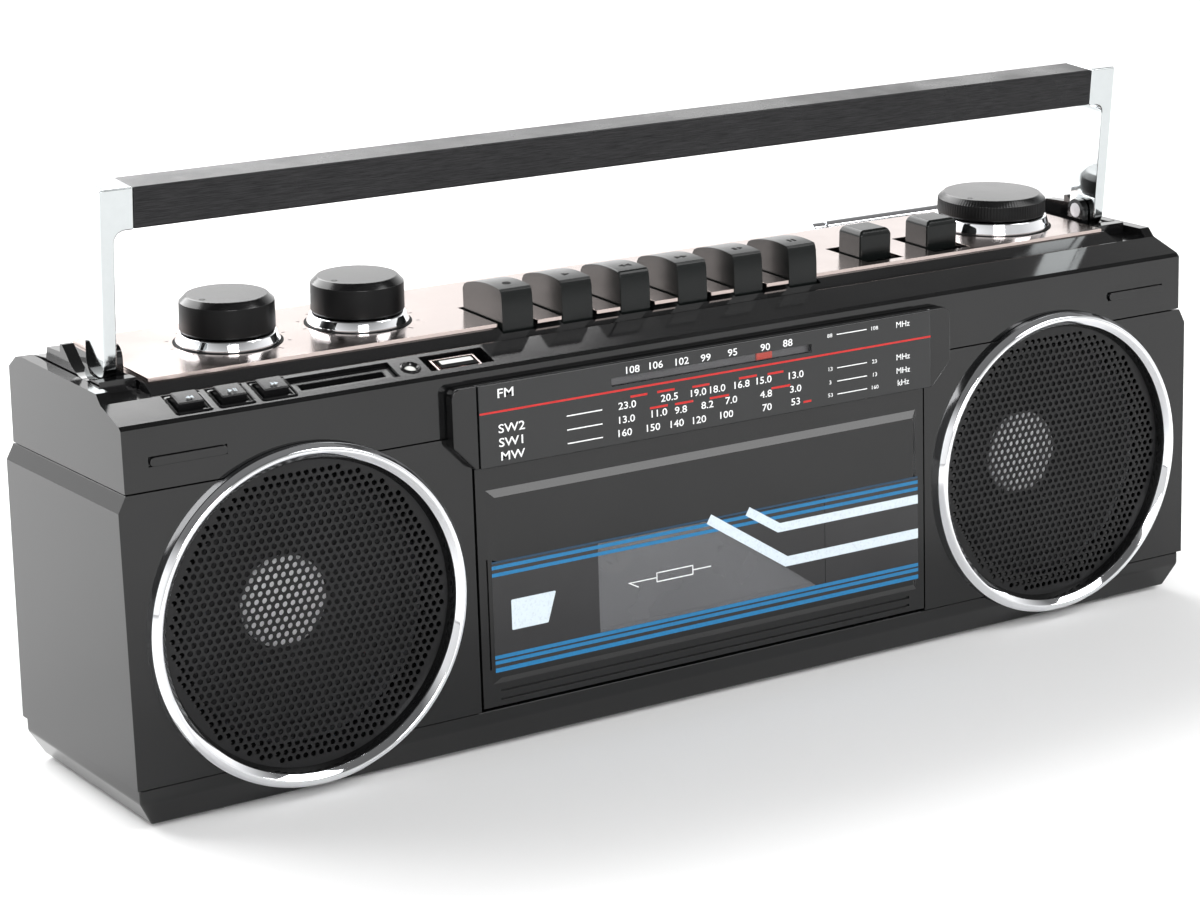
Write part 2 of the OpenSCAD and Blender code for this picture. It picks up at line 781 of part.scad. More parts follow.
module motor() {
    color([0.6, 0.61, 0.63]) in_case() {
        rod_y(motor_x, motor_z, 33, 43.5, 14);
        rod_y(motor_x, motor_z, 27, 33.5, 1);
        difference() {
            rod_y(motor_x, motor_z, 26.5, 30.5, pulley_r);
            translate([motor_x, 28.5, motor_z]) rotate([90, 0, 0]) rotate_extrude()
                polygon([[pulley_r - 1.2, -1], [pulley_r + 1, -1.6], [pulley_r + 1, 1.6], [pulley_r - 1.2, 1]]);
        }
    }
}

module belt_loop(extra) {
    hull() {
        translate([capstan_x, capstan_z]) circle(r = flywheel_r - 0.9 + extra, $fn = hull_fn);
        translate([motor_x, motor_z]) circle(r = pulley_r - 0.9 + extra, $fn = hull_fn);
    }
}

module drive_belt() {
    color([0.1, 0.1, 0.1]) in_case() bar_y(28.1, 28.9) difference() {
        belt_loop(0.8);
        belt_loop(0);
    }
}

// The plate that brings the head and the pinch roller down to the tape.
module head_plate() {
    color([0.7, 0.7, 0.72]) in_case() difference() {
        union() {
            slab(-46, 46, 17.6, 19, 79.6, 90);
            slab(-6, 6, 6, 17.7, 80.4, 88);
            slab(-24, -12, 6, 17.7, 80.4, 86);
            rod_y(capstan_x + 6, 83.5, 6, 18, 1);
        }
    }
}

module pinch_roller() {
    color([0.05, 0.05, 0.05]) in_case() difference() {
        rod_y(capstan_x + 6, 83.5, 7, 16.6, 3.6);
        rod_y(capstan_x + 6, 83.5, 5, 18, 1 + fit);
    }
}

// ---------- Electrics ----------

module main_board() {
    color([0.1, 0.35, 0.2]) in_case() {
        slab(-150, 150, 8, 66, 5.5, 7.1);
        for (x = [-92, -84, -76]) translate([x, 54, 7]) cylinder(h = 10, r = 3.5);
        slab(-70, -40, 52, 64, 7, 11);
        slab(70, 96, 40, 62, 7, 12);
    }
}

module transformer() {
    color([0.45, 0.42, 0.4]) in_case() {
        slab(98, 150, 36, 66, 8.3, 14);
        slab(104, 144, 37, 65, 14, 46);
        slab(98, 150, 44, 58, 14, 46.5);
    }
}

// Two-pin mains inlet in the rear cover.
module mains_inlet() {
    color([0.05, 0.05, 0.05]) in_case() {
        difference() {
            translate([-136.8, 56, 29.2]) cube([23.6, 16.8, 17.6]);
            bar_y(58, 90) {
                translate([-129, 38]) circle(r = 4.2);
                translate([-121, 38]) circle(r = 4.2);
                translate([-129, 33.8]) square([8, 8.4]);
            }
        }
    }
    color([0.8, 0.75, 0.5]) in_case() for (x = [-129.3, -120.7]) rod_y(x, 38, 57.5, 69, 1.1);
}

module battery_door() {
    color([0.08, 0.08, 0.08]) in_case() {
        slab(-bay_x - 0.6, bay_x + 0.6, door_plate_d, door_plate_d + 2.4, bay_low + 0.4, bay_high + 0.6);
        rod_x(-bay_x - 2.2, bay_x + 2.2, battery_hinge_d, battery_hinge_z, 1.2);
        for (i = [0:4]) slab(-12, 12, door_plate_d + 2.3, door_plate_d + 2.9, 68 + i * 1.6, 68.8 + i * 1.6);
    }
}

// ---------- Antenna ----------

// A swivelling stub that ends in a fork, with the cross pin that the rod tilts on.
module antenna_base() {
    color([0.8, 0.8, 0.82]) in_case() translate([antenna_x, antenna_d, antenna_z]) {
        rotate([90, 0, 0]) translate([0, 0, 2.7]) cylinder(h = 4.3, r = 2);
        rotate([90, 0, 0]) translate([0, 0, 2.7]) cylinder(h = 1.3, r = 3);
        for (z = [-knuckle_h - 1.3, knuckle_h + 0.15]) intersection() {
            translate([-3, -4, z]) cube([6, 6.4, 1.15]);
            translate([0, 0, z]) cylinder(h = 1.15, r = 3);
        }
        for (z = [-knuckle_h - 1.3, knuckle_h + 0.15]) translate([-1.6, -3, z]) cube([3.2, 1.6, 1.15]);
        translate([0, 0, -knuckle_h - 1.3]) cylinder(h = 2 * knuckle_h + 2.6, r = knuckle_pin_r);
    }
}

module antenna_tubes() {
    color([0.85, 0.86, 0.88]) in_case() difference() {
        union() {
            rod_x(antenna_end, antenna_x - 6, antenna_d, antenna_z, 2.6);
            translate([antenna_x - 7, antenna_d - 1.2, antenna_z - knuckle_h]) cube([7, 2.4, 2 * knuckle_h]);
            translate([antenna_x, antenna_d, antenna_z - knuckle_h]) cylinder(h = 2 * knuckle_h, r = 2.1);
        }
        rod_x(antenna_end - 1, antenna_x - 10, antenna_d, antenna_z, 1.6);
        translate([antenna_x, antenna_d, antenna_z - 5]) cylinder(h = 10, r = knuckle_pin_r + fit);
    }
}

module antenna_tip() {
    color([0.85, 0.86, 0.88]) in_case() {
        rod_x(antenna_end - 2, antenna_x - 11, antenna_d, antenna_z, 1.55);
        rod_x(antenna_end - 5, antenna_end - 0.4, antenna_d, antenna_z, 2.4);
    }
}

front_cabinet();
top_cover();
rear_cover();
base_tray();
top_plate();
handle_brackets();
handle_pins();
handle_straps();
handle_grip();
knob_rings();
volume_knob();
tone_knob();
tuning_knob();
control_pots();
tuning_capacitor();
cord_drum();
dial_frame();
dial_scale();
dial_lens();
dial_pointer();
speaker_rings();
grilles();
speaker_baskets();
speaker_cones();
dust_caps();
key_record();
key_play();
key_rewind();
key_forward();
key_stop();
key_pause();
key_axle();
function_slider();
band_slider();
slide_switches();
button_back();
button_play();
button_next();
card_slot();
usb_socket();
status_led();
cassette_door();
door_window();
cassette_carrier();
deck_chassis();
supply_spindle();
takeup_spindle();
flywheel();
motor();
drive_belt();
head_plate();
pinch_roller();
main_board();
transformer();
mains_inlet();
battery_door();
antenna_base();
antenna_tubes();
antenna_tip();
feet();
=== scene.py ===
"""Looks of the radio cassette recorder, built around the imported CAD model.

Lengths inside the functions are millimetres in the case's own terms: x across, d back from the
front plane, z up. at() turns them into the frame's metres.
"""

import json
import math

import bmesh
import bpy
from mathutils import Matrix, Vector


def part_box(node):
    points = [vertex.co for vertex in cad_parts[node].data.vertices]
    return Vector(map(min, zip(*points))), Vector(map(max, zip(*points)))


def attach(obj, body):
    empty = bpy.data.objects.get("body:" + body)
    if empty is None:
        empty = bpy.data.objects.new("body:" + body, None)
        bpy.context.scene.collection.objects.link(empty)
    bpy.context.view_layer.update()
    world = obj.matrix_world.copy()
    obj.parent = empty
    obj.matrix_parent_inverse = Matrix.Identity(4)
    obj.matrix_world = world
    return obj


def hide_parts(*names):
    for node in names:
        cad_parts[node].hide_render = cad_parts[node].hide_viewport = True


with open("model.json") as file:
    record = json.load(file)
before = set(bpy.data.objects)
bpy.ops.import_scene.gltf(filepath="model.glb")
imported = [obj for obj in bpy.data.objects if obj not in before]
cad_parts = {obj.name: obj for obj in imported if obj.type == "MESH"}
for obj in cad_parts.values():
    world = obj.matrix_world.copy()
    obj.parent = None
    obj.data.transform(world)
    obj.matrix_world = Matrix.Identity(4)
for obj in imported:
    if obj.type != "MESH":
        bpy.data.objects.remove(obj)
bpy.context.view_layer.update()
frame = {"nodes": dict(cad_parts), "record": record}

MM = 0.001
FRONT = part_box("front_cabinet")[0].y

# Places that several pieces share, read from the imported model.
RING_LOW, RING_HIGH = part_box("speaker_rings")
RING_R = (RING_HIGH.z - RING_LOW.z) / 2 / MM
SPEAKER_X = RING_HIGH.x / MM - RING_R
SPEAKER_Z = (RING_HIGH.z + RING_LOW.z) / 2 / MM
MOUTH_R = (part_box("grilles")[1].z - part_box("grilles")[0].z) / 2 / MM

# The raised deck with the knobs and keys.
DECK_TILT = math.radians(3)
DECK_FRONT = 17.5
DECK_H = 112.3
KNOB_D = 40.5
VOLUME_X, TONE_X, TUNING_X = -123.5, -85, 133
SMALL_R, SMALL_RING_H, SMALL_H = 12.6, 3, 12.8
TUNING_R, TUNING_RING_H, TUNING_H = 16.3, 3.8, 10.2
TUNING_RIBS = 110

# Key tops are an arc seen from the side, round a point far below the deck.
KEYS = ("record", "play", "rewind", "forward", "stop", "pause")
KEY_FIRST, KEY_PITCH = -49.8, 18.85
KEY_ARC_D, KEY_ARC_Z, KEY_ARC_R = 24.5, 82.2, 40
SYMBOL_FORWARD = 3.2

# The sloping shelf with the buttons, lamp and sockets.
SHELF_TILT = math.atan2(3.6, 10.2)
SHELF_NOSE, SHELF_H = 1.4, 105.2
SHELF_MIDDLE = 5.3
BUTTON_XS = (-151.5, -139.7, -127.9)
BUTTON_LIFT = 2.0
LAMP_X, LAMP_LIFT = -88.4, -0.5

# The rear cover leans forward from its lower edge to its upper one.
REAR_LOW_D, REAR_LOW_Z = 74, 11.6
REAR_HIGH_D, REAR_HIGH_Z = 71, 88

# Printing: ink thickness, and the plane of the cassette door's raised panel.
INK = 0.02
DOOR_FACE = -1.6
DOOR_PRINT_X = 71.2


def at(x, d, z):
    """A point given across, back from the front plane and up, in millimetres."""
    return Vector((x * MM, FRONT + d * MM, z * MM))


# ---------- Materials ----------


def node(tree, kind, **settings):
    made = tree.nodes.new(kind)
    for name, value in settings.items():
        if name in made.inputs:
            made.inputs[name].default_value = value
        else:
            setattr(made, name, value)
    return made


def shader_tree(name):
    mat = bpy.data.materials.new(name)
    mat.use_nodes = True
    return mat, mat.node_tree, mat.node_tree.nodes["Principled BSDF"]


def grain(tree, scale, detail=4.0, stretch=(1, 1, 1), rough=0.55):
    """Noise over the piece's own coordinates; stretch draws it out along an axis."""
    coords = node(tree, "ShaderNodeTexCoord")
    mapping = node(tree, "ShaderNodeMapping")
    mapping.inputs["Scale"].default_value = stretch
    noise = node(tree, "ShaderNodeTexNoise", Scale=scale, Detail=detail, Roughness=rough)
    tree.links.new(coords.outputs["Object"], mapping.inputs["Vector"])
    tree.links.new(mapping.outputs["Vector"], noise.inputs["Vector"])
    return noise


def spread(tree, source, low, high, start=0.35, end=0.65):
    """Maps a noise to numbers between low and high."""
    ramp = node(tree, "ShaderNodeMapRange")
    ramp.inputs["From Min"].default_value = start
    ramp.inputs["From Max"].default_value = end
    ramp.inputs["To Min"].default_value = low
    ramp.inputs["To Max"].default_value = high
    tree.links.new(source.outputs["Fac"], ramp.inputs["Value"])
    return ramp.outputs["Result"]


def shade(tree, source, first, second, start=0.35, end=0.65):
    """Mixes two colours by a noise."""
    ramp = node(tree, "ShaderNodeValToRGB")
    ramp.color_ramp.elements[0].position = start
    ramp.color_ramp.elements[1].position = end
    ramp.color_ramp.elements[0].color = (*first, 1)
    ramp.color_ramp.elements[1].color = (*second, 1)
    tree.links.new(source.outputs["Fac"], ramp.inputs["Fac"])
    return ramp.outputs["Color"]


def bumps(tree, shader, source, height, strength=1.0):
    bump = node(tree, "ShaderNodeBump", Strength=strength, Distance=height)
    tree.links.new(source.outputs["Fac"], bump.inputs["Height"])
    tree.links.new(bump.outputs["Normal"], shader.inputs["Normal"])


def plastic(name, colour, rough, tone=0.25, grain_scale=2600, grain_height=0.00002, ior=1.46, shine=0.5):
    """Moulded plastic: faint flow marks in the colour, handling haze in the gloss, a fine skin."""
    mat, tree, shader = shader_tree(name)
    flow = grain(tree, 38, 3)
    haze = grain(tree, 150, 5)
    skin = grain(tree, grain_scale, 2)
    darker = tuple(c * (1 - tone) for c in colour)
    lighter = tuple(c * (1 + tone) for c in colour)
    tree.links.new(shade(tree, flow, darker, lighter), shader.inputs["Base Color"])
    tree.links.new(spread(tree, haze, rough * 0.94, rough * 1.07), shader.inputs["Roughness"])
    bumps(tree, shader, skin, grain_height, 0.5)
    shader.inputs["IOR"].default_value = ior
    shader.inputs["Specular IOR Level"].default_value = shine
    return mat


def metal(name, colour, rough, tone=0.06, stretch=(1, 1, 1), scale=900, height=0.000015):
    """Plated or brushed metal; stretch gives the brushing its direction."""
    mat, tree, shader = shader_tree(name)
    lines = grain(tree, scale, 6, stretch, 0.7)
    cloud = grain(tree, 45, 3)
    darker = tuple(c * (1 - tone) for c in colour)
    lighter = tuple(min(1, c * (1 + tone)) for c in colour)
    tree.links.new(shade(tree, lines, darker, lighter), shader.inputs["Base Color"])
    tree.links.new(spread(tree, cloud, rough * 0.8, rough * 1.3), shader.inputs["Roughness"])
    bumps(tree, shader, lines, height, 0.6)
    shader.inputs["Metallic"].default_value = 1
    return mat


def printed(name, colour, rough=0.42):
    """Screen-printed ink: slightly uneven cover."""
    mat, tree, shader = shader_tree(name)
    cover = grain(tree, 1400, 3)
    weak = tuple(c * 0.86 for c in colour)
    tree.links.new(shade(tree, cover, weak, colour, 0.3, 0.5), shader.inputs["Base Color"])
    tree.links.new(spread(tree, cover, rough * 0.9, rough * 1.2), shader.inputs["Roughness"])
    return mat


def clear(name, tint, opacity, rough=0.06):
    """Clear plastic that lets part of the light through without bending it."""
    mat, tree, shader = shader_tree(name)
    haze = grain(tree, 30, 2)
    tree.links.new(shade(tree, haze, tuple(c * 0.94 for c in tint), tint), shader.inputs["Base Color"])
    tree.links.new(spread(tree, haze, rough * 0.9, rough * 1.1), shader.inputs["Roughness"])
    see = node(tree, "ShaderNodeBsdfTransparent")
    mix = node(tree, "ShaderNodeMixShader")
    tree.links.new(spread(tree, haze, opacity - 0.01, opacity + 0.01), mix.inputs["Fac"])
    tree.links.new(see.outputs[0], mix.inputs[1])
    tree.links.new(shader.outputs[0], mix.inputs[2])
    tree.links.new(mix.outputs[0], tree.nodes["Material Output"].inputs["Surface"])
    return mat


def paper(name, colour):
    """Pressed cone paper: coarse fibres."""
    mat, tree, shader = shader_tree(name)
    fibre = grain(tree, 700, 8, (1, 1, 1), 0.8)
    tree.links.new(shade(tree, fibre, tuple(c * 0.6 for c in colour), tuple(c * 1.5 for c in colour)),
                   shader.inputs["Base Color"])
    shader.inputs["Roughness"].default_value = 0.85
    bumps(tree, shader, fibre, 0.0002, 0.8)
    return mat


GLOSS = plastic("gloss_black", (0.0045, 0.0046, 0.0048), 0.1, 0.2, 900, 0.000004)
SATIN = plastic("satin_black", (0.006, 0.006, 0.0063), 0.2)
KNOB = plastic("knob_black", (0.0035, 0.0035, 0.0037), 0.42, 0.2, 2600, 0.00002, 1.4, 0.22)
KEY = plastic("key_black", (0.005, 0.0062, 0.006), 0.24, 0.15, 2600, 0.000008, 1.46, 0.28)
CHAMPAGNE = metal("champagne", (0.47, 0.395, 0.37), 0.17, 0.045, (1, 26, 26), 220)
CHROME = metal("chrome", (0.86, 0.87, 0.89), 0.045, 0.01, (1, 1, 1), 300, 0.000002)
STRAP = metal("strap_chrome", (0.52, 0.545, 0.55), 0.06, 0.02, (1, 1, 1), 300, 0.000002)
GRIP = metal("black_aluminium", (0.03, 0.03, 0.031), 0.3, 0.4, (1, 40, 40), 160, 0.00003)
MESH = plastic("mesh_black", (0.007, 0.007, 0.0075), 0.35, 0.2, 3000, 0.00002, 1.46, 0.3)
LENS = plastic("lens_black", (0.0065, 0.007, 0.0075), 0.08, 0.15, 700, 0.000003, 1.5)
LENS_CLEAR = clear("lens_clear", (0.1, 0.1, 0.105), 0.16)
WINDOW = clear("window_grey", (0.15, 0.152, 0.16), 0.62, 0.12)
SCALE = plastic("scale_print", (0.22, 0.22, 0.225), 0.6, 0.08)
POINTER = plastic("pointer_red", (0.95, 0.09, 0.05), 0.35, 0.08)
STEEL = metal("steel", (0.55, 0.56, 0.58), 0.32, 0.08)
NICKEL = metal("nickel", (0.8, 0.74, 0.70), 0.2, 0.05)
PAPER = paper("cone_paper", (0.02, 0.02, 0.021))
FOIL = plastic("cap_silver", (0.93, 0.93, 0.95), 0.3, 0.04, 900, 0.00001)
ACETAL = plastic("white_plastic", (0.75, 0.75, 0.72), 0.4, 0.05)
RUBBER = plastic("rubber", (0.016, 0.016, 0.016), 0.75, 0.3, 1500, 0.00006)
BOARD = plastic("board_green", (0.015, 0.10, 0.045), 0.3)
IRON = metal("iron_core", (0.2, 0.18, 0.16), 0.55, 0.2, (1, 60, 1), 160)
LED = plastic("led_red", (0.3, 0.16, 0.15), 0.15, 0.1)
CONTACT = metal("socket_metal", (0.78, 0.66, 0.63), 0.22, 0.05)
WHITE = printed("print_white", (0.78, 0.79, 0.79))
PALE = printed("print_pale", (0.60, 0.68, 0.74))
RED = printed("print_red", (0.5, 0.008, 0.006))
BLUE = printed("print_blue", (0.003, 0.15, 0.34))
DEEP_BLUE = printed("print_deep_blue", (0.004, 0.035, 0.075))
# Dark matte ink for the printed and moulded marks; the same finish is painted shade in the socket's
# opening.
DARK = plastic("dark_print_and_painted_shade", (0.004, 0.004, 0.004), 0.6, 0.2, 1400, 0.00001, 1.4, 0.1)
BAND = plastic("band_grey", (0.019, 0.019, 0.020), 0.1, 0.1, 900, 0.000004)

SLOT_FINISH = {
    "gloss_black": GLOSS, "satin_black": SATIN, "key_black": KEY, "champagne": CHAMPAGNE,
    "chrome": CHROME, "black_aluminium": GRIP, "mesh_black": MESH, "dark_lens": LENS,
    "window_grey": WINDOW, "scale_print": SCALE, "pointer_red": POINTER, "steel": STEEL,
    "nickel": NICKEL, "cone_paper": PAPER, "cap_silver": FOIL, "white_plastic": ACETAL,
    "rubber": RUBBER, "board_green": BOARD, "iron_core": IRON, "led_red": LED,
}
SLOT_OF = {row["node"]: row["material_slot"] for row in frame["record"]["subparts"]}
BODY_OF = {n: body for body, members in frame["record"]["behaviour"]["bodies"].items() for n in members}

for name, ob in frame["nodes"].items():
    ob.data.materials.clear()
    ob.data.materials.append(SLOT_FINISH[SLOT_OF[name]])


# ---------- Mesh helpers ----------


def piece(name, mesh, body, finish):
    ob = bpy.data.objects.new(name, mesh)
    bpy.context.scene.collection.objects.link(ob)
    mesh.materials.append(finish)
    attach(ob, body)
    return ob


def soften(ob, width, segments=3, angle=17):
    """Rounds the edges that are sharper than angle; large flat faces keep their own normals."""
    mod = ob.modifiers.new("edges", "BEVEL")
    mod.width = width * MM
    mod.segments = segments
    mod.limit_method = "ANGLE"
    mod.angle_limit = math.radians(angle)
    mod.use_clamp_overlap = True
    normals = ob.modifiers.new("normals", "WEIGHTED_NORMAL")
    normals.keep_sharp = True
    for face in ob.data.polygons:
        face.use_smooth = True


def rounded_node(name, width, segments=3, finish=None, angle=17):
    """A CAD node again, with its triangles merged and its edges rounded."""
    bm = bmesh.new()
    bm.from_mesh(frame["nodes"][name].data)
    bmesh.ops.remove_doubles(bm, verts=bm.verts, dist=2e-6)
    bmesh.ops.dissolve_limit(bm, angle_limit=math.radians(0.5), verts=bm.verts, edges=bm.edges)
    mesh = bpy.data.meshes.new(name + "_shape")
    bm.to_mesh(mesh)
    bm.free()
    ob = piece(name + "_shape", mesh, BODY_OF[name], finish or SLOT_FINISH[SLOT_OF[name]])
    soften(ob, width, segments, angle)
    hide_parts(name)
    return ob


def fillet(points, radius, steps=4):
    """An outline with each corner rounded; radius is one number or one for each corner."""
    made = []
    count = len(points)
    for i, p in enumerate(points):
        r = radius[i] if isinstance(radius, (list, tuple)) else radius
        here = Vector(p)
        before, after = Vector(points[i - 1]) - here, Vector(points[(i + 1) % count]) - here
        if r <= 0 or before.length < 1e-6 or after.length < 1e-6:
            made.append(tuple(here))
            continue
        angle = before.angle(after)
        if angle > math.radians(176):
            made.append(tuple(here))
            continue
        cut = min(r / math.tan(angle / 2), before.length * 0.49, after.length * 0.49)
        a, b = here + before.normalized() * cut, here + after.normalized() * cut
        for k in range(steps + 1):
            t = k / steps
            made.append(tuple(a * (1 - t) ** 2 + here * 2 * t * (1 - t) + b * t * t))
    return made


def lathe(name, outline, axis_point, axis, segments, body, finish, closed=True):
    """Turns an outline of (radius, height) points round an axis. Heights run along the axis."""
    z = Vector(axis).normalized()
    x = z.orthogonal().normalized()
    y = z.cross(x)
    verts, faces = [], []
    for r, h in outline:
        for k in range(segments):
            a = 2 * math.pi * k / segments
            verts.append(axis_point + (x * math.cos(a) * r + y * math.sin(a) * r + z * h) * MM)
    rows = len(outline)
    for i in range(rows if closed else rows - 1):
        j = (i + 1) % rows
        for k in range(segments):
            n = (k + 1) % segments
            faces.append((i * segments + k, i * segments + n, j * segments + n, j * segments + k))
    mesh = bpy.data.meshes.new(name)
    mesh.from_pydata(verts, [], faces)
    bm = bmesh.new()
    bm.from_mesh(mesh)
    bmesh.ops.remove_doubles(bm, verts=bm.verts, dist=1e-7)
    bmesh.ops.recalc_face_normals(bm, faces=bm.faces)
    bm.to_mesh(mesh)
    bm.free()
    for face in mesh.polygons:
        face.use_smooth = True
    mesh.set_sharp_from_angle(angle=math.radians(50))
    return piece(name, mesh, body, finish)


def slabs(name, outlines, origin, across, up, thick, body, finish):
    """Thin flat shapes on one plane, each a list of (across, up) points, thick along the normal."""
    across, up = Vector(across).normalized(), Vector(up).normalized()
    normal = across.cross(up)
    bm = bmesh.new()
    for outline in outlines:
        verts = [bm.verts.new(origin + (across * a + up * b) * MM) for a, b in outline]
        face = bm.faces.new(verts)
        made = bmesh.ops.extrude_face_region(bm, geom=[face])
        moved = [v for v in made["geom"] if isinstance(v, bmesh.types.BMVert)]
        bmesh.ops.translate(bm, verts=moved, vec=normal * thick * MM)
    bmesh.ops.recalc_face_normals(bm, faces=bm.faces)
    mesh = bpy.data.meshes.new(name)
    bm.to_mesh(mesh)
    bm.free()
    return piece(name, mesh, body, finish)


def rect(x0, x1, y0, y1):
    return [(x0, y0), (x1, y0), (x1, y1), (x0, y1)]


def ellipse(cx, cy, rx, ry, count=24):
    return [(cx + rx * math.cos(2 * math.pi * k / count), cy + ry * math.sin(2 * math.pi * k / count))
            for k in range(count)]


def stroke(points, width):
    """A line of even width along points, as one outline with mitred corners."""
    left, right = [], []
    for i, p in enumerate(points):
        here = Vector(p)
        inward = (here - Vector(points[i - 1])).normalized() if i else None
        onward = (Vector(points[i + 1]) - here).normalized() if i + 1 < len(points) else None
        run = ((inward or onward) + (onward or inward)).normalized()
        side = Vector((-run.y, run.x))
        edge = onward or inward
        reach = width / 2 / max(0.3, abs(side.dot(Vector((-edge.y, edge.x)))))
        left.append(tuple(here + side * reach))
        right.append(tuple(here - side * reach))
    return left + right[::-1]


def lettering(name, words, origin, across, up, thick, body, finish):
    """Numbers and units as one mesh: each word is (text, middle across, middle up, height, width share)."""
    across, up = Vector(across).normalized(), Vector(up).normalized()
    normal = across.cross(up)
    turn = Matrix((across, up, normal)).transposed().to_4x4()
    size_for_height, weight = 1.38, 0.012
    bm = bmesh.new()
    for text, a, b, height, share in words:
        curve = bpy.data.curves.new("word", "FONT")
        curve.body = text
        curve.align_x, curve.align_y = "CENTER", "CENTER"
        curve.size = height * size_for_height
        curve.extrude = thick / 2
        curve.offset = height * weight
        curve.resolution_u = 3
        ob = bpy.data.objects.new("word", curve)
        bpy.context.scene.collection.objects.link(ob)
        bpy.context.view_layer.update()
        mesh = ob.evaluated_get(bpy.context.evaluated_depsgraph_get()).to_mesh()
        part = bmesh.new()
        part.from_mesh(mesh)
        mid = sum((v.co.y for v in part.verts), 0.0) / max(1, len(part.verts))
        for v in part.verts:
            flat = Vector((v.co.x * share + a, v.co.y - mid + b, v.co.z + thick / 2))
            v.co = origin + (turn @ flat) * MM
        holder = bpy.data.meshes.new("word")
        part.to_mesh(holder)
        bm.from_mesh(holder)
        part.free()
        ob.evaluated_get(bpy.context.evaluated_depsgraph_get()).to_mesh_clear()
        bpy.data.objects.remove(ob)
        bpy.data.curves.remove(curve)
        bpy.data.meshes.remove(holder)
    bmesh.ops.remove_doubles(bm, verts=bm.verts, dist=1e-7)
    mesh = bpy.data.meshes.new(name)
    bm.to_mesh(mesh)
    bm.free()
    return piece(name, mesh, body, finish)


def deck_point(x, d, lift=0.0):
    """A point on the tilted deck, lifted along its normal."""
    base = at(x, d, DECK_H + (d - DECK_FRONT) * math.tan(DECK_TILT))
    return base + DECK_UP * lift * MM


def shelf_point(x, s, lift=0.0):
    """A point on the sloping shelf, s along the slope."""
    return at(x, SHELF_NOSE, SHELF_H) + (SHELF_BACK * s + SHELF_UP * lift) * MM


ACROSS = Vector((1, 0, 0))
UP = Vector((0, 0, 1))
DECK_BACK = Vector((0, math.cos(DECK_TILT), math.sin(DECK_TILT)))
DECK_UP = Vector((0, -math.sin(DECK_TILT), math.cos(DECK_TILT)))
SHELF_BACK = Vector((0, math.cos(SHELF_TILT), math.sin(SHELF_TILT)))
SHELF_UP = Vector((0, -math.sin(SHELF_TILT), math.cos(SHELF_TILT)))


# ---------- Case ----------


def build_case():
    rounded_node("front_cabinet", 0.7)
    rounded_node("top_cover", 0.6)
    rounded_node("base_tray", 0.7)
    rounded_node("rear_cover", 0.6)
    rounded_node("top_plate", 0.28, 2)
    rounded_node("feet", 0.35)
    rounded_node("battery_door", 0.3, 2)
    rounded_node("mains_inlet", 0.4, 2)
    rounded_node("handle_brackets", 0.6)
    rounded_node("handle_straps", 0.5, 3, STRAP)
    rounded_node("handle_grip", 0.45)


def build_trim_bars():
    """Rounded bars in the grooves near the upper corners of the front."""
    low, high, left, right = 94.35, 96.65, 144.7, 165.8
    for side, name in ((-1, "trim_bar_left"), (1, "trim_bar_right")):
        outline = fillet(rect(left, right, low, high), 1.1, 5)
        ob = slabs(name, [[(side * x, z) for x, z in outline]], at(0, 1.1, 0), ACROSS, UP, 1.5,
                   "case", GLOSS)
        soften(ob, 0.6, 4)


def build_screws():
    """Countersunk screw heads in the rear cover."""
    slope = (REAR_LOW_D - REAR_HIGH_D) / (REAR_HIGH_Z - REAR_LOW_Z)
    out = Vector((0, 1, slope)).normalized()
    head = [(0, -0.4), (3.1, -0.4), (3.1, 0.06), (2.6, 0.17), (1.3, 0.18), (1.2, -0.1), (0, -0.1)]
    places = [(-160, 20), (160, 20), (-160, 80), (160, 80), (-66, 82), (66, 82)]
    for i, (x, z) in enumerate(places):
        d = REAR_LOW_D - (z - REAR_LOW_Z) * slope
        lathe(f"rear_screw_{i}", fillet(head, 0.08, 2), at(x, d, z), out, 28, "case", STEEL,
              closed=False)


# ---------- Speakers ----------


def ring_outline():
    inner, outer = MOUTH_R, RING_R
    return fillet([(inner, -0.05), (outer, -0.05), (outer, 1.6), (outer - 1.2, 3.3), (inner + 1.6, 3.4),
                   (inner, 2.0)], [0, 0, 0.8, 1.1, 0.9, 0.3], 6)


